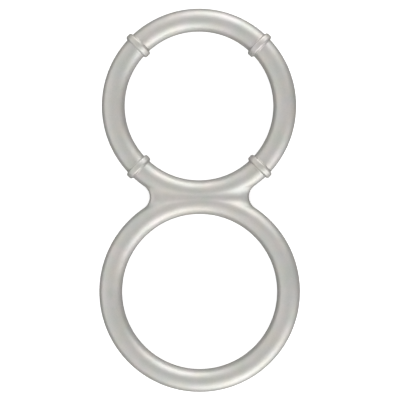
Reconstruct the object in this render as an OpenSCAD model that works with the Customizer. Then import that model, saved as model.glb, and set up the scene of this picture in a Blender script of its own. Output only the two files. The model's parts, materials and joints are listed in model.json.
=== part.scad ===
// Double silicone ring: two round rings moulded in one piece, lying flat.
// The upper ring carries small collars, the lower one is plain, and a thin web with a
// concave notch at each side joins them. Millimetres. X runs across the rings, +Y points from
// the plain ring to the collared one, and the part rests on z = 0 by its collars.

/* [Rings] */
// Thickness of the round cord that both rings are made of
tube_d = 6.2; // [5:0.1:7]
// Width of the hole in the upper, collared ring
upper_hole_d = 40.1; // [36:0.1:46]
// Width of the hole in the lower, plain ring
lower_hole_d = 41.8; // [36:0.1:46]
// How deep the two rings run into each other where they meet
ring_overlap = 3.25; // [2.5:0.05:4]

/* [Collars] */
// Number of collars round the upper ring
collar_count = 4; // [2:2:4]
// Width of a collar along the ring
collar_w = 1.9; // [1.5:0.1:2.4]
// How far a collar stands proud of the ring
collar_h = 0.75; // [0.4:0.05:0.9]
// Rounding of a collar's two edges
collar_edge_r = 0.6; // [0.4:0.05:0.7]
// Fillet at the foot of a collar
collar_fillet = 0.3; // [0.2:0.05:0.6]

/* [Web] */
// Thickness of the web between the rings
web_t = 3.4; // [2.4:0.1:4]
// Radius of the notch at each side of the web
notch_r = 3.6; // [3:0.05:5]
// Fillet where the web rises into a ring
web_fillet = 2.1; // [1.2:0.1:2.6]

/* [Hidden] */
$fn = 96;

silicone = [0.74, 0.73, 0.70];

// Surfaces that blend run this far into each other, so that none of them only touch
bite = 0.02;
// The same at the tips of the web, where a thin edge runs out along a ring
tip_bite = 0.05;
// The fillets stop this far short of the notch, just inside the edge of the web
fillet_inset = 0.2;

tube_r = tube_d / 2;
upper_r = (upper_hole_d + tube_d) / 2;
lower_r = (lower_hole_d + tube_d) / 2;
ring_spacing = upper_r + lower_r + tube_d - ring_overlap;

// The middle of the length is at y = 0
upper_y = (ring_spacing + lower_r - upper_r) / 2;
lower_y = upper_y - ring_spacing;
rest_z = tube_r + collar_h;

// A notch is an arc that touches both rings, so its centre lies a notch radius outside each
upper_reach = upper_r + tube_r + notch_r;
lower_reach = lower_r + tube_r + notch_r;
notch_drop = (pow(upper_reach, 2) - pow(lower_reach, 2) + pow(ring_spacing, 2)) / (2 * ring_spacing);
notch_x = sqrt(pow(upper_reach, 2) - pow(notch_drop, 2));
notch_y = upper_y - notch_drop;

// The web starts this far from the middle, where the rings have swallowed it
web_start_x = 2;
// Rounding of the edge where the fillets run out at a notch
fillet_nose_r = (web_t / 2 + tube_r) / 2;

// One ring of round cord about the z axis
module plain_ring(r) {
    rotate_extrude()
        translate([r, 0]) circle(tube_r);
}

// Half section of a collar: a flat band with rounded edges, a fillet at each foot, and the
// disc under them. x is the distance from the middle of the cord, and y runs along the cord.
module collar_section() {
    edge_x = tube_r + collar_h - collar_edge_r;
    edge_y = collar_w / 2 - collar_edge_r;
    fillet_x = tube_r + collar_fillet - tip_bite;
    fillet_y = edge_y + sqrt(pow(collar_edge_r + collar_fillet, 2) - pow(fillet_x - edge_x, 2));
    disc_x = edge_x + (fillet_x - edge_x) * collar_edge_r / (collar_edge_r + collar_fillet);
    difference() {
        union() {
            for (side = [-1, 1])
                translate([edge_x, side * edge_y]) circle(collar_edge_r);
            translate([0, -edge_y]) square([tube_r + collar_h, 2 * edge_y]);
            translate([0, -fillet_y]) square([disc_x, 2 * fillet_y]);
        }
        for (side = [-1, 1])
            translate([fillet_x, side * (fillet_y + bite)]) circle(collar_fillet);
    }
}

// A collar on the upper ring, at an angle from the x axis
module collar(angle) {
    rotate(angle) translate([upper_r, 0]) rotate([-90, 0, 0])
        rotate_extrude() collar_section();
}

// A flat disc with a round hole for the notch. Its edge starts inset from the notch's own arc,
// and is rounded with radius nose.
module notched_disc(side, inset, nose) {
    edge = notch_r + inset + nose;
    translate([side * notch_x, notch_y])
        rotate_extrude() {
            translate([edge, 0]) circle(nose);
            translate([edge, -nose]) square([notch_x - web_start_x, 2 * nose]);
        }
}

// The web's outline on one side: from ring to ring, out to the centre of the notch
module web_outline(side) {
    difference() {
        polygon([
            [side * web_start_x, upper_y],
            [side * notch_x, notch_y],
            [side * web_start_x, lower_y]
        ]);
        translate([0, upper_y]) circle(upper_r);
        translate([0, lower_y]) circle(lower_r);
    }
}

// The flat of the web on one side, with its rounded edge along the notch
module web_plate(side) {
    intersection() {
        linear_extrude(2 * tube_d, center = true) web_outline(side);
        notched_disc(side, tip_bite, web_t / 2);
    }
}

// Section of the fillets that lead from a ring of radius r down to the web
module fillet_section(r) {
    centre_z = web_t / 2 + web_fillet - bite;
    centre_x = sqrt(pow(tube_r + web_fillet - bite, 2) - pow(centre_z, 2));
    top_z = centre_z * tube_r / (tube_r + web_fillet) - bite;
    difference() {
        translate([r, -top_z]) square([centre_x, 2 * top_z]);
        for (end = [-1, 1])
            translate([r + centre_x, end * centre_z]) circle(web_fillet);
    }
}

// Fillets of one ring on one side of the web. toward is -90 for the upper ring, which looks
// down at the lower one, and 90 for the lower ring.
module web_fillets(side, y, r, toward) {
    from = asin((web_start_x + 1) / r);
    to = atan2(notch_x, abs(y - notch_y)) - 0.5;
    turn = side * toward > 0 ? -to : from;
    intersection() {
        translate([0, y]) rotate(toward + turn)
            rotate_extrude(angle = to - from) fillet_section(r);
        notched_disc(side, fillet_inset, fillet_nose_r);
    }
}

// Both rings and the web, whose flats come before the fillets that lead up to each ring
module joined_rings() {
    union() {
        translate([0, upper_y]) plain_ring(upper_r);
        translate([0, lower_y]) plain_ring(lower_r);
        for (side = [-1, 1]) web_plate(side);
        for (side = [-1, 1]) web_fillets(side, upper_y, upper_r, -90);
        for (side = [-1, 1]) web_fillets(side, lower_y, lower_r, 90);
    }
}

module double_ring() {
    color(silicone)
    translate([0, 0, rest_z])
        union() {
            joined_rings();
            translate([0, upper_y])
                for (i = [0 : collar_count - 1])
                    collar(90 + (i + 0.5) * 360 / collar_count);
        }
}

double_ring();
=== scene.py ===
"""A double silicone ring on a pale studio floor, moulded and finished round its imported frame."""

import json
import math

import bpy
import numpy as np
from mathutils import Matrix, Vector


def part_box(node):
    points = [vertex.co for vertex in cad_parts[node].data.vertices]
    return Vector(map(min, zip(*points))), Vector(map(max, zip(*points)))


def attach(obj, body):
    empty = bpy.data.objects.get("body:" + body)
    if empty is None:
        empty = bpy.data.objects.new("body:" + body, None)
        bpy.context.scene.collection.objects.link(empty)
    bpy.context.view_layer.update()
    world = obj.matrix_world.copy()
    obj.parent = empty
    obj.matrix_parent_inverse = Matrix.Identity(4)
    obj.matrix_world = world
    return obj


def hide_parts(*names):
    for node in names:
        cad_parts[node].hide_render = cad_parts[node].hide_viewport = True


bl_info = {
    "name": "Double Silicone Ring",
    "version": (1, 0, 0),
    "blender": (4, 5, 0),
    "location": "View3D > Sidebar > Double Ring",
    "description": "Moulds a double silicone ring with its collars and web, and lights it on a pale floor",
    "category": "Add Mesh",
}

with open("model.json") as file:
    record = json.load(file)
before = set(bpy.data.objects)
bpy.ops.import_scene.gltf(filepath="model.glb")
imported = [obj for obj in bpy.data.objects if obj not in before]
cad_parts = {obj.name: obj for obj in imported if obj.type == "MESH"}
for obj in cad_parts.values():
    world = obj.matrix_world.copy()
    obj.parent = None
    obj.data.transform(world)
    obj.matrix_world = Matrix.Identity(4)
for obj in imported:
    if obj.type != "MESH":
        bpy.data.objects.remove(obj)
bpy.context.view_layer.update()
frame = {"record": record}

MM = 0.001
NODE = "double_ring"
PIECE = "double_ring_skin"

# Keeps a division from failing, and is far below every length here
TINY = 1e-9
# Further than any point of the ring is from its skin
FAR = 1.0
# Lengths as near to each other as this are the same
SAME = 0.01 * MM
# A ball may sink this deep into a skin before it counts as touching it
SINK = 1e-4 * MM

# How finely the primitives are cut before they are remeshed
RING_SEGMENTS = 240
CORD_SEGMENTS = 40
ROUND_SEGMENTS = 96
EDGE_SEGMENTS = 6
# How much of half the web's thickness the bevel of a notch takes, so that its rims don't meet
RIM_SHARE = 0.9
# How many of its radii the hollow at a collar's foot may reach past the collar
FOOT_REACH = 2.5

# Most values of a noise lie between these two
NOISE_LOW, NOISE_HIGH = 0.36, 0.64
# The seeds of the noises in the silicone
PEARL_SEED = 31.355
TINT_SEED = 171.0
ROUGH_SEED = 5.0
WAVE_SEED = 96.1
GRAIN_SEED = 9.0

holes = {mount["name"]: mount for mount in frame["record"]["mounts"]}
COLLARED = holes["collared_hole"]
PLAIN = holes["plain_hole"]
MID_Z = COLLARED["pos_m"][2]
NODE_LOW, NODE_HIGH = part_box(NODE)

# The plain ring is the widest part, so the frame's width gives the cord's thickness
CORD_D = (NODE_HIGH.x - NODE_LOW.x) / 2 - PLAIN["dims"]["r_mm"] * MM
# The collars are the lowest part
COLLAR_H = MID_Z - NODE_LOW.z - CORD_D / 2


def length(name, description, default, low, high):
    """A length setting, in metres, shown in the scene's own units."""
    return bpy.props.FloatProperty(
        name=name, description=description, default=default,
        min=low, max=high, unit="LENGTH", precision=5,
    )


def colour(name, description, default):
    """A colour setting, in linear light."""
    return bpy.props.FloatVectorProperty(
        name=name, description=description, default=default,
        subtype="COLOR", size=3, min=0.0, max=1.0,
    )


def share(name, description, default, high=1.0):
    """A setting from nothing to high."""
    return bpy.props.FloatProperty(
        name=name, description=description, default=default,
        min=0.0, max=high, subtype="FACTOR",
    )


def angle(name, description, degrees):
    """An angle setting, given in degrees and kept in radians."""
    return bpy.props.FloatProperty(
        name=name, description=description, default=math.radians(degrees), subtype="ANGLE",
    )


def camera_mm(name, description, default):
    """A length inside the camera, in millimetres."""
    return bpy.props.FloatProperty(
        name=name, description=description, default=default, min=1.0, subtype="DISTANCE_CAMERA",
    )


class RingSizes(bpy.types.PropertyGroup):
    """The sizes of the moulding."""

    cord_d: length("Cord", "Thickness of the round cord of both rings", CORD_D, 4 * MM, 9 * MM)
    collar_w: length("Collar Width", "Width of a collar along the ring", 1.9 * MM, 1 * MM, 3 * MM)
    collar_h: length("Collar Height", "How far a collar stands proud", COLLAR_H, 0.3 * MM, 1.5 * MM)
    collar_edge_r: length("Collar Edge", "Rounding of a collar's edges", 0.55 * MM, 0.2 * MM, 1 * MM)
    collar_foot_r: length("Collar Foot", "Hollow at the foot of a collar", 0.15 * MM, 0.1 * MM, 1 * MM)
    web_t: length("Web", "Thickness of the web between the rings", 3.4 * MM, 2 * MM, 5 * MM)
    notch_r: length("Notch", "Radius of the notch at each side of the web", 3.6 * MM, 2 * MM, 6 * MM)
    hollow_r: length("Hollow", "Radius of the hollows that lead from the rings down to the web",
                     3.5 * MM, 0.5 * MM, 4 * MM)
    grid: length("Grid", "Spacing of the mesh, and twice its spacing at the collars",
                 0.32 * MM, 0.2 * MM, 1 * MM)
    collar_count: bpy.props.IntProperty(
        name="Collars", description="Number of collars round the collared ring",
        default=4, min=2, max=4, step=2,
    )


class SiliconeFinish(bpy.types.PropertyGroup):
    """The colours and surface of the silicone."""

    body: colour("Body", "Colour of the pigmented silicone", (0.474, 0.465, 0.454))
    rose: colour("Rose Swirl", "Colour of the rosy swirls of pearl", (0.503, 0.474, 0.467))
    green: colour("Green Swirl", "Colour of the greenish swirls of pearl", (0.446, 0.456, 0.442))
    yellow: colour("Yellow Swirl", "Tint of the yellowish swirls of pearl", (1.0, 1.0, 0.93))
    metallic: share("Pearl", "How much of the light comes off the pearl pigment", 0.5)
    ior: share("Refractive Index", "How strongly the silicone bends light", 1.41, 3.0)
    roughness: share("Roughness", "Roughness of the satin surface", 0.35)
    rough_change: share("Roughness Change", "How far the roughness goes up and down", 0.04)
    patch: length("Patch Size", "Size of the rougher and smoother patches", 2.5 * MM, 0.5 * MM, 20 * MM)
    swirl: length("Swirl Size", "Size of the swirls of pearl", 5 * MM, 1 * MM, 50 * MM)
    wave: length("Wave Size", "Size of the slight unevenness of the surface", 3 * MM, 0.5 * MM, 20 * MM)
    wave_h: length("Wave Height", "Height of the slight unevenness", 0.12 * MM, 0.0, 1 * MM)
    grain: length("Grain Size", "Size of the grain that the mould leaves", 0.16 * MM, 0.05 * MM, 2 * MM)
    grain_h: length("Grain Height", "Height of that grain", 0.0025 * MM, 0.0, 0.1 * MM)
    flake: length("Flake Size", "Size of a speck of pearl", 0.12 * MM, 0.05 * MM, 2 * MM)
    flake_change: share("Flake Contrast", "How much a speck lightens or darkens the colour", 0.06)


class Studio(bpy.types.PropertyGroup):
    """The floor, the light and the camera."""

    floor: colour("Floor", "Colour of the floor", (0.86, 0.86, 0.855))
    floor_w: length("Floor Width", "Width of the floor", 12.0, 1.0, 100.0)
    floor_glow: share("Floor Glow", "Light that the floor gives off, as a light table does", 0.58, 4.0)
    dome: share("Dome", "Strength of the white light from all round above", 0.29, 4.0)
    wall: share("Wall", "Strength added at the left, as a white wall there does", 1.04, 4.0)
    wall_focus: share("Wall Focus", "How narrow the wall is", 2.0, 100.0)
    under: share("Under", "Strength of the light from straight below", 0.19, 4.0)
    fade: share("Fade", "How far below the horizon the wall fades, as the sine of the angle", 0.24)
    upper_light: share("Upper Light", "Strength of the soft light beyond the collared ring", 3.08, 10.0)
    upper_turn: angle("Upper Direction", "Direction of the upper light from +X", 70)
    upper_rise: angle("Upper Rise", "Height of the upper light over the horizon", 19)
    upper_focus: share("Upper Focus", "How narrow the upper light is", 6.3, 100.0)
    lower_light: share("Lower Light", "Strength of the soft light beyond the plain ring", 2.94, 10.0)
    lower_turn: angle("Lower Direction", "Direction of the lower light from +X", -62)
    lower_rise: angle("Lower Rise", "Height of the lower light over the horizon", 17)
    lower_focus: share("Lower Focus", "How narrow the lower light is", 4.3, 100.0)
    overhead: share("Overhead Light", "Strength of the weak light straight above", 0.08, 10.0)
    overhead_focus: share("Overhead Focus", "How narrow the light above is", 8.0, 100.0)
    view_w: length("View Width", "Width of what the camera sees at the ring", 108 * MM, 10 * MM, 1.0)
    view_x: length("View X", "Where the middle of the picture is along X", 0.18 * MM, -0.1, 0.1)
    view_y: length("View Y", "Where the middle of the picture is along Y", 0.08 * MM, -0.1, 0.1)
    roll: angle("Roll", "How far the ring is turned in the picture", 0.2)
    lens: camera_mm("Lens", "Focal length of the camera", 135.0)
    sensor: camera_mm("Sensor", "Width of the camera's sensor", 36.0)


class Form:
    """The shape that the sizes describe: rings, collars, web and notches, in metres."""

    def __init__(self, sizes):
        self.cord_r = sizes.cord_d / 2
        self.upper_y = COLLARED["pos_m"][1]
        self.lower_y = PLAIN["pos_m"][1]
        self.upper_r = COLLARED["dims"]["r_mm"] * MM + self.cord_r
        self.lower_r = PLAIN["dims"]["r_mm"] * MM + self.cord_r
        self.collar_r = self.cord_r + sizes.collar_h
        self.collar_w = sizes.collar_w
        self.edge_r = sizes.collar_edge_r
        self.foot_r = sizes.collar_foot_r
        self.collar_turns = [
            math.pi / 2 + (i + 0.5) * math.tau / sizes.collar_count
            for i in range(sizes.collar_count)
        ]
        self.web_half = sizes.web_t / 2
        self.notch_r = sizes.notch_r
        self.hollow_r = sizes.hollow_r
        # A notch touches both rings from outside, so its centre is a notch radius outside each
        upper_reach = self.upper_r + self.cord_r + self.notch_r
        lower_reach = self.lower_r + self.cord_r + self.notch_r
        apart = self.upper_y - self.lower_y
        drop = (upper_reach**2 - lower_reach**2 + apart**2) / (2 * apart)
        self.notch_x = math.sqrt(upper_reach**2 - drop**2)
        self.notch_y = self.upper_y - drop

    def from_ring(self, points, centre_y, ring_r):
        """How far the points are outside one ring's cord, and the directions straight off it."""
        x, y, z = points[:, 0], points[:, 1] - centre_y, points[:, 2] - MID_Z
        out = np.maximum(np.hypot(x, y), TINY)
        across = out - ring_r
        depth = np.maximum(np.hypot(across, z), TINY)
        lean = across / depth / out
        return depth - self.cord_r, np.stack([lean * x, lean * y, z / depth], axis=1)

    def from_upper(self, points):
        return self.from_ring(points, self.upper_y, self.upper_r)

    def from_lower(self, points):
        return self.from_ring(points, self.lower_y, self.lower_r)

    def from_web(self, points):
        """The same for the web, a plate whose edge is rounded along both notches."""
        side = np.where(points[:, 0] < 0, -1.0, 1.0)
        x, y = np.abs(points[:, 0]) - self.notch_x, points[:, 1] - self.notch_y
        z = points[:, 2] - MID_Z
        out = np.maximum(np.hypot(x, y), TINY)
        short = np.maximum(self.notch_r + self.web_half - out, 0.0)
        depth = np.maximum(np.hypot(short, z), TINY)
        lean = -short / depth / out
        distance = np.where(self.in_web(points), depth - self.web_half, FAR)
        return distance, np.stack([lean * x * side, lean * y, z / depth], axis=1)

    def in_web(self, points):
        """True between the rings' centre lines, as far out as the centres of the notches."""
        x, y = np.abs(points[:, 0]), points[:, 1]
        under_upper = self.notch_x * (self.upper_y - y) >= (self.upper_y - self.notch_y) * x
        over_lower = self.notch_x * (y - self.lower_y) >= (self.notch_y - self.lower_y) * x
        clear_of_upper = np.hypot(x, y - self.upper_y) > self.upper_r
        clear_of_lower = np.hypot(x, y - self.lower_y) > self.lower_r
        return under_upper & over_lower & clear_of_upper & clear_of_lower

    def collar_frame(self, turn):
        """The middle of a collar and the direction of the cord through it."""
        middle = np.array([
            self.upper_r * math.cos(turn), self.upper_y + self.upper_r * math.sin(turn), MID_Z,
        ])
        return middle, np.array([-math.sin(turn), math.cos(turn), 0.0])

    def from_collar(self, points, turn):
        """The same for a collar, a flat band with rounded edges."""
        middle, along = self.collar_frame(turn)
        rel = points - middle
        t = rel @ along
        off = rel - np.outer(t, along)
        out = np.maximum(np.linalg.norm(off, axis=1), TINY)
        flat = self.collar_w / 2 - self.edge_r
        beside = t - np.clip(t, -flat, flat)
        across = out - (self.collar_r - self.edge_r)
        depth = np.maximum(np.hypot(across, beside), TINY)
        away = off * (across / depth / out)[:, None] + np.outer(beside / depth, along)
        return depth - self.edge_r, away

    def near_collar(self, points, turn):
        """True for the points that a collar or its foot may reach."""
        middle, along = self.collar_frame(turn)
        rel = points - middle
        reach = self.collar_w / 2 + FOOT_REACH * self.foot_r
        return (np.abs(rel @ along) < reach) & (np.linalg.norm(rel, axis=1) < 2 * self.collar_r)


def settle_ball(points, skins, touched, ball_r, steps=12):
    """Centres of balls nearest to the points, each just touching the skins marked for it.

    Also gives how far each centre is outside each skin, and how hard each skin pushes a ball.
    """
    centres = points.copy()
    pairs = touched.T[:, :, None] & touched.T[:, None, :]
    # A skin that a ball doesn't touch gets a row of its own, which leaves its push at nothing
    spare = np.eye(len(skins)) * np.where(touched.T, TINY, 1.0)[:, :, None]
    for _ in range(steps):
        found = [skin(centres) for skin in skins]
        gaps = np.stack([gap for gap, _ in found])
        ways = np.stack([way for _, way in found])
        wanted = ball_r - gaps + np.einsum("kij,ij->ki", ways, centres - points)
        wanted = np.where(touched, wanted, 0.0)
        crossed = np.where(pairs, np.einsum("kij,lij->ikl", ways, ways), 0.0) + spare
        push = np.linalg.solve(crossed, wanted.T[:, :, None])[:, :, 0]
        move = points + np.einsum("ik,kij->ij", push, ways) - centres
        size = np.maximum(np.linalg.norm(move, axis=1, keepdims=True), TINY)
        # No step is longer than a millimetre, so that none overshoots
        centres = centres + move * np.minimum(1.0, MM / size)
    gaps = np.stack([skin(centres)[0] for skin in skins])
    return centres, gaps, push.T


def roll_ball(points, skins, ball_r):
    """Moves the points onto the skin that is left when a ball is rolled all over the others.

    Where the ball rests on one skin the point goes onto that skin, and where it bridges two or
    three, onto the ball, which makes the hollow between them.
    """
    found = [skin(points) for skin in skins]
    gaps = np.stack([gap for gap, _ in found])
    nearest = np.argmin(gaps, axis=0)
    ways = np.stack([way for _, way in found])[nearest, np.arange(len(points))]
    moved = points - gaps.min(axis=0)[:, None] * ways
    # Only a ball that is within reach of two skins can bridge them
    bridged = np.sort(gaps, axis=0)[1] < 2 * ball_r
    moved[bridged] = bridge_skins(points[bridged], skins, ball_r)
    return moved


def bridge_skins(points, skins, ball_r, rounds=4):
    """The same for points that are near two skins or more.

    Each ball starts on its nearest skin. In each round it lets go of every skin that holds it
    back, and takes hold of the one that it cuts into deepest, until it needs neither.
    """
    count = len(points)
    gaps = np.stack([skin(points)[0] for skin in skins])
    touched = np.zeros(gaps.shape, bool)
    touched[np.argmin(gaps, axis=0), np.arange(count)] = True
    for _ in range(rounds):
        centres, gaps, push = settle_ball(points, skins, touched, ball_r)
        held = touched & (push < -TINY)
        cut = (gaps < ball_r - SINK) & ~touched
        if not (held.any() or cut.any()):
            break
        touched &= ~held
        deepest = np.argmin(np.where(touched, np.inf, gaps), axis=0)
        more = np.flatnonzero(cut.any(axis=0))
        touched[deepest[more], more] = True
    back = points - centres
    return centres + back * (ball_r / np.maximum(np.linalg.norm(back, axis=1, keepdims=True), TINY))


def deselect_all():
    """Leaves nothing selected, because an operator acts on all that is."""
    for item in bpy.context.selected_objects:
        item.select_set(False)


def pick(*items):
    """Selects just these objects and makes the first one active."""
    deselect_all()
    for item in items:
        item.select_set(True)
    bpy.context.view_layer.objects.active = items[0]


def unpick_all(kind):
    """Leaves nothing of the active mesh selected, and sets what edit mode acts on."""
    bpy.ops.object.mode_set(mode="EDIT")
    bpy.ops.mesh.select_mode(type=kind)
    bpy.ops.mesh.select_all(action="DESELECT")
    bpy.ops.object.mode_set(mode="OBJECT")


def edit(operator, **settings):
    """Runs one operator of edit mode on what is selected of the active mesh."""
    bpy.ops.object.mode_set(mode="EDIT")
    operator(**settings)
    bpy.ops.object.mode_set(mode="OBJECT")


def apply_modifier(item, kind, **settings):
    """Adds a modifier with these settings and applies it."""
    pick(item)
    modifier = item.modifiers.new(kind.title(), kind)
    for name, value in settings.items():
        setattr(modifier, name, value)
    bpy.ops.object.modifier_apply(modifier=modifier.name)


def new_ring(centre_y, ring_r, form):
    """One ring of round cord, lying flat."""
    deselect_all()
    bpy.ops.mesh.primitive_torus_add(
        location=(0, centre_y, MID_Z), major_radius=ring_r, minor_radius=form.cord_r,
        major_segments=RING_SEGMENTS, minor_segments=CORD_SEGMENTS,
    )
    return bpy.context.active_object


def new_collars(form):
    """The bands round the cord of the collared ring. One is modelled, and copied to each place."""
    deselect_all()
    bpy.ops.mesh.primitive_cylinder_add(
        vertices=ROUND_SEGMENTS, radius=form.collar_r, depth=form.collar_w,
    )
    collars = [bpy.context.active_object]
    unpick_all("FACE")
    # Only the two flat ends have more than four corners
    for face in collars[0].data.polygons:
        face.select = len(face.vertices) > 4
    edit(bpy.ops.mesh.bevel, offset=form.edge_r, segments=EDGE_SEGMENTS)
    while len(collars) < len(form.collar_turns):
        pick(collars[0])
        bpy.ops.object.duplicate(linked=False)
        collars.append(bpy.context.active_object)
    for collar, turn in zip(collars, form.collar_turns):
        collar.location, _ = form.collar_frame(turn)
        collar.rotation_euler = (math.pi / 2, 0, turn)
    return collars


def new_web(form):
    """The plate between the rings, cut out at both notches and rounded along them."""
    deselect_all()
    bpy.ops.mesh.primitive_cube_add(size=1, location=(0, form.notch_y, MID_Z))
    web = bpy.context.active_object
    web.dimensions = (2 * form.notch_x, 2 * form.notch_r, 2 * form.web_half)
    bpy.ops.object.transform_apply(location=True, rotation=True, scale=True)
    # The cutters are three times as thick as the plate, so that they cut right through it
    cutter_depth = 6 * form.web_half
    for side in (-1, 1):
        deselect_all()
        bpy.ops.mesh.primitive_cylinder_add(
            vertices=ROUND_SEGMENTS, radius=form.notch_r, depth=cutter_depth,
            location=(side * form.notch_x, form.notch_y, MID_Z),
        )
        cutter = bpy.context.active_object
        apply_modifier(web, "BOOLEAN", object=cutter, operation="DIFFERENCE", solver="EXACT")
        bpy.data.objects.remove(cutter)
    round_notches(web, form)
    return web


def round_notches(web, form):
    """Bevels the rims of both notches, which all but meet in one round edge."""
    pick(web)
    unpick_all("EDGE")
    spots = [vertex.co for vertex in web.data.vertices]
    for edge in web.data.edges:
        ends = [spots[i] for i in edge.vertices]
        level = abs(ends[0].z - ends[1].z) < TINY
        reach = [math.hypot(abs(p.x) - form.notch_x, p.y - form.notch_y) for p in ends]
        edge.select = level and max(abs(r - form.notch_r) for r in reach) < SAME
    edit(bpy.ops.mesh.bevel, offset=RIM_SHARE * form.web_half, segments=EDGE_SEGMENTS)


def ease_skin(piece, form):
    """Sets every vertex on the true skin, with the hollows of the web and the collars' feet."""
    count = len(piece.data.vertices)
    flat = np.empty(count * 3)
    piece.data.vertices.foreach_get("co", flat)
    points = flat.reshape(-1, 3)
    eased = roll_ball(points, [form.from_upper, form.from_lower, form.from_web], form.hollow_r)
    for turn in form.collar_turns:
        near = form.near_collar(points, turn)
        skins = [form.from_upper, lambda p, turn=turn: form.from_collar(p, turn)]
        eased[near] = roll_ball(points[near], skins, form.foot_r)
    piece.data.vertices.foreach_set("co", eased.ravel())
    piece.data.update()


def refine_collars(piece, form):
    """Cuts the faces of the collars in four, so that their edges and feet come out crisp."""
    middles = np.array([face.center for face in piece.data.polygons])
    near = np.any([form.near_collar(middles, turn) for turn in form.collar_turns], axis=0)
    pick(piece)
    unpick_all("FACE")
    piece.data.polygons.foreach_set("select", near)
    edit(bpy.ops.mesh.subdivide, number_cuts=1, ngon=False)


def even_out(piece, times, slide=0.5):
    """Slides the vertices towards the middle of their neighbours, by a share of the way."""
    pick(piece)
    edit(bpy.ops.mesh.select_all, action="SELECT")
    edit(bpy.ops.mesh.vertices_smooth, factor=slide, repeat=times)


def mould_rings(sizes):
    """The whole moulding in one mesh: both rings, the collars and the web, run together."""
    form = Form(sizes)
    parts = [
        new_ring(form.upper_y, form.upper_r, form),
        new_ring(form.lower_y, form.lower_r, form),
        new_web(form),
        *new_collars(form),
    ]
    pick(*parts)
    bpy.ops.object.join()
    piece = bpy.context.active_object
    bpy.ops.object.transform_apply(location=True, rotation=True, scale=True)
    piece.name = piece.data.name = PIECE
    apply_modifier(piece, "REMESH", mode="VOXEL", voxel_size=sizes.grid)
    even_out(piece, 2)
    ease_skin(piece, form)
    refine_collars(piece, form)
    even_out(piece, 1)
    ease_skin(piece, form)
    pick(piece)
    bpy.ops.object.shade_smooth()
    return piece


def new_material(name):
    """A material with nothing set yet, its node tree and its shader."""
    material = bpy.data.materials.new(name)
    material.use_nodes = True
    tree = material.node_tree
    return material, tree, tree.nodes["Principled BSDF"]


def add_noise(tree, place, size, detail, seed):
    """Noise of a given size in metres, on the piece's own coordinates."""
    noise = tree.nodes.new("ShaderNodeTexNoise")
    noise.noise_dimensions = "4D"
    noise.inputs["Scale"].default_value = 1 / size
    noise.inputs["Detail"].default_value = detail
    noise.inputs["W"].default_value = seed
    tree.links.new(place.outputs["Object"], noise.inputs["Vector"])
    return noise.outputs["Fac"]


def add_swirl(tree, place, size, seed, colours):
    """Swirls of noise that run through the colours, evenly spread over its usual range."""
    ramp = tree.nodes.new("ShaderNodeValToRGB")
    stops = ramp.color_ramp.elements
    stops[0].position, stops[0].color = NOISE_LOW, (*colours[0], 1)
    stops[1].position, stops[1].color = NOISE_HIGH, (*colours[-1], 1)
    apart = (NOISE_HIGH - NOISE_LOW) / (len(colours) - 1)
    for i in range(1, len(colours) - 1):
        stops.new(NOISE_LOW + apart * i).color = (*colours[i], 1)
    tree.links.new(add_noise(tree, place, size, detail=3.0, seed=seed), ramp.inputs["Fac"])
    return ramp.outputs["Color"]


def add_range(tree, value, middle, change):
    """Spreads a value from 0 to 1 over as much as the change below and above the middle."""
    spread = tree.nodes.new("ShaderNodeMapRange")
    spread.inputs["To Min"].default_value = middle - change
    spread.inputs["To Max"].default_value = middle + change
    tree.links.new(value, spread.inputs["Value"])
    return spread.outputs["Result"]


def add_bump(tree, height, distance, under=None):
    """The normals of a surface whose height runs over a distance in metres, on any under it."""
    bump = tree.nodes.new("ShaderNodeBump")
    bump.inputs["Distance"].default_value = distance
    tree.links.new(height, bump.inputs["Height"])
    if under:
        tree.links.new(under, bump.inputs["Normal"])
    return bump.outputs["Normal"]


def silicone_material(finish):
    """Satin silicone with pearl pigment: faint swirls, specks of pearl and a fine mould grain."""
    material, tree, shader = new_material("silver_silicone")
    nodes, links = tree.nodes, tree.links
    place = nodes.new("ShaderNodeTexCoord")

    pearl = add_swirl(tree, place, finish.swirl, PEARL_SEED, (finish.green, finish.body, finish.rose))
    tint = add_swirl(tree, place, finish.swirl, TINT_SEED, (finish.yellow, (1, 1, 1)))
    tinted = nodes.new("ShaderNodeVectorMath")
    tinted.operation = "MULTIPLY"
    links.new(pearl, tinted.inputs[0])
    links.new(tint, tinted.inputs[1])

    specks = nodes.new("ShaderNodeTexVoronoi")
    specks.inputs["Scale"].default_value = 1 / finish.flake
    links.new(place.outputs["Object"], specks.inputs["Vector"])
    speck_level = add_range(tree, specks.outputs["Color"], 1.0, finish.flake_change)
    speckled = nodes.new("ShaderNodeVectorMath")
    speckled.operation = "SCALE"
    links.new(tinted.outputs["Vector"], speckled.inputs[0])
    links.new(speck_level, speckled.inputs["Scale"])
    links.new(speckled.outputs["Vector"], shader.inputs["Base Color"])

    patches = add_noise(tree, place, finish.patch, detail=2.0, seed=ROUGH_SEED)
    rough = add_range(tree, patches, finish.roughness, finish.rough_change)
    links.new(rough, shader.inputs["Roughness"])

    waves = add_noise(tree, place, finish.wave, detail=1.0, seed=WAVE_SEED)
    uneven = add_bump(tree, waves, finish.wave_h)
    grain = add_noise(tree, place, finish.grain, detail=2.0, seed=GRAIN_SEED)
    links.new(add_bump(tree, grain, finish.grain_h, under=uneven), shader.inputs["Normal"])

    shader.inputs["Metallic"].default_value = finish.metallic
    shader.inputs["IOR"].default_value = finish.ior
    return material


def add_math(tree, operation, first, second):
    """A math node on two values, each a number or another node's output."""
    node = tree.nodes.new("ShaderNodeMath")
    node.operation = operation
    for i, value in enumerate((first, second)):
        if isinstance(value, bpy.types.NodeSocket):
            tree.links.new(value, node.inputs[i])
        else:
            node.inputs[i].default_value = value
    return node.outputs["Value"]


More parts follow.
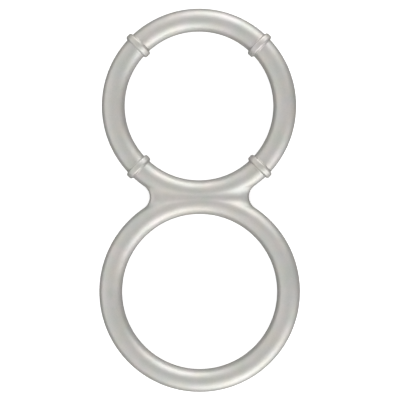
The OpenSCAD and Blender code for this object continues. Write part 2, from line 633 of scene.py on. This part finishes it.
def add_soft_light(tree, sky, turn, rise, strength, focus):
    """One soft round light in the sky, strongest at a turn from +X and a rise over the horizon."""
    towards = tree.nodes.new("ShaderNodeVectorMath")
    towards.operation = "DOT_PRODUCT"
    towards.inputs[1].default_value = (
        math.cos(turn) * math.cos(rise), math.sin(turn) * math.cos(rise), math.sin(rise),
    )
    tree.links.new(sky, towards.inputs[0])
    facing = add_math(tree, "MAXIMUM", towards.outputs["Value"], 0.0)
    return add_math(tree, "MULTIPLY", add_math(tree, "POWER", facing, focus), strength)


def light_sky(studio):
    """A white sky, dark below, with a wall of light at the left and three soft lights in it."""
    world = bpy.data.worlds.new("studio_sky")
    bpy.context.scene.world = world
    world.use_nodes = True
    tree = world.node_tree
    sky = tree.nodes.new("ShaderNodeTexCoord").outputs["Generated"]
    split = tree.nodes.new("ShaderNodeSeparateXYZ")
    tree.links.new(sky, split.inputs["Vector"])

    leftward = tree.nodes.new("ShaderNodeMapRange")
    leftward.inputs["From Min"].default_value = 1.0
    leftward.inputs["From Max"].default_value = -1.0
    tree.links.new(split.outputs["X"], leftward.inputs["Value"])
    facing_wall = add_math(tree, "POWER", leftward.outputs["Result"], studio.wall_focus)
    wall = add_math(tree, "MULTIPLY", facing_wall, studio.wall)
    horizon = tree.nodes.new("ShaderNodeMapRange")
    horizon.inputs["From Min"].default_value = -studio.fade
    horizon.inputs["From Max"].default_value = 0.0
    horizon.inputs["To Min"].default_value = studio.under
    tree.links.new(split.outputs["Z"], horizon.inputs["Value"])
    tree.links.new(add_math(tree, "ADD", wall, studio.dome), horizon.inputs["To Max"])

    upper = add_soft_light(
        tree, sky, studio.upper_turn, studio.upper_rise, studio.upper_light, studio.upper_focus,
    )
    lower = add_soft_light(
        tree, sky, studio.lower_turn, studio.lower_rise, studio.lower_light, studio.lower_focus,
    )
    straight_up = math.pi / 2
    overhead = add_soft_light(tree, sky, 0.0, straight_up, studio.overhead, studio.overhead_focus)
    total = horizon.outputs["Result"]
    for light in (upper, lower, overhead):
        total = add_math(tree, "ADD", total, light)
    background = tree.nodes["Background"]
    background.inputs["Color"].default_value = (1, 1, 1, 1)
    tree.links.new(total, background.inputs["Strength"])


def add_floor(studio):
    """A wide matt floor under the ring, which glows a little as a light table does."""
    deselect_all()
    bpy.ops.mesh.primitive_plane_add(size=studio.floor_w, location=(0, 0, 0))
    floor = bpy.context.active_object
    floor.name = "floor"
    material, _, shader = new_material("floor_paint")
    shader.inputs["Base Color"].default_value = (*studio.floor, 1)
    shader.inputs["Roughness"].default_value = 1.0
    shader.inputs["Specular IOR Level"].default_value = 0.0
    shader.inputs["Emission Color"].default_value = (1, 1, 1, 1)
    shader.inputs["Emission Strength"].default_value = studio.floor_glow
    floor.data.materials.append(material)
    # The floor sends no light back to the ring, so its sides stay as dark as in the picture
    floor.visible_diffuse = False
    floor.visible_glossy = False


def add_camera(studio):
    """A camera straight above the ring, as wide as the picture."""
    data = bpy.data.cameras.new("camera")
    data.lens = studio.lens
    data.sensor_width = studio.sensor
    # The camera may come close, so nothing near it is cut off
    data.clip_start = 10 * MM
    camera = bpy.data.objects.new("camera", data)
    bpy.context.scene.collection.objects.link(camera)
    away = studio.view_w * studio.lens / studio.sensor
    camera.location = (studio.view_x, studio.view_y, MID_Z + away)
    camera.rotation_euler = (0, 0, -studio.roll)
    bpy.context.scene.camera = camera


class MESH_OT_mould_double_ring(bpy.types.Operator):
    """Mould the collared ring, the plain ring and the web in one piece of silicone"""

    bl_idname = "mesh.mould_double_ring"
    bl_label = "Mould Double Ring"
    bl_options = {"REGISTER", "UNDO"}

    def execute(self, context):
        piece = mould_rings(context.scene.ring_sizes)
        piece.data.materials.clear()
        piece.data.materials.append(silicone_material(context.scene.silicone_finish))
        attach(piece, "root")
        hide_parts(NODE)
        return {"FINISHED"}


class SCENE_OT_ring_studio(bpy.types.Operator):
    """Add the floor, the sky with its soft lights, and the camera"""

    bl_idname = "scene.ring_studio"
    bl_label = "Set Up Studio"
    bl_options = {"REGISTER", "UNDO"}

    def execute(self, context):
        studio = context.scene.ring_studio
        context.scene.view_settings.view_transform = "Standard"
        add_floor(studio)
        light_sky(studio)
        add_camera(studio)
        return {"FINISHED"}


class VIEW3D_PT_double_ring(bpy.types.Panel):
    """The ring's settings and the steps that make it"""

    bl_label = "Double Ring"
    bl_space_type = "VIEW_3D"
    bl_region_type = "UI"
    bl_category = "Double Ring"

    def draw(self, context):
        groups = (
            ("ring_sizes", MESH_OT_mould_double_ring),
            ("silicone_finish", None),
            ("ring_studio", SCENE_OT_ring_studio),
        )
        for name, operator in groups:
            settings = getattr(context.scene, name)
            column = self.layout.column(align=True)
            for setting in settings.__annotations__:
                column.prop(settings, setting)
            if operator:
                self.layout.operator(operator.bl_idname)


GROUPS = {"ring_sizes": RingSizes, "silicone_finish": SiliconeFinish, "ring_studio": Studio}
CLASSES = (*GROUPS.values(), MESH_OT_mould_double_ring, SCENE_OT_ring_studio, VIEW3D_PT_double_ring)


def register():
    for cls in CLASSES:
        bpy.utils.register_class(cls)
    for name, group in GROUPS.items():
        setattr(bpy.types.Scene, name, bpy.props.PointerProperty(type=group))


def unregister():
    for name in GROUPS:
        delattr(bpy.types.Scene, name)
    for cls in reversed(CLASSES):
        bpy.utils.unregister_class(cls)


def main():
    """Makes the ring and its studio."""
    register()
    bpy.ops.mesh.mould_double_ring()
    bpy.ops.scene.ring_studio()


if __name__ == "__main__":
    main()
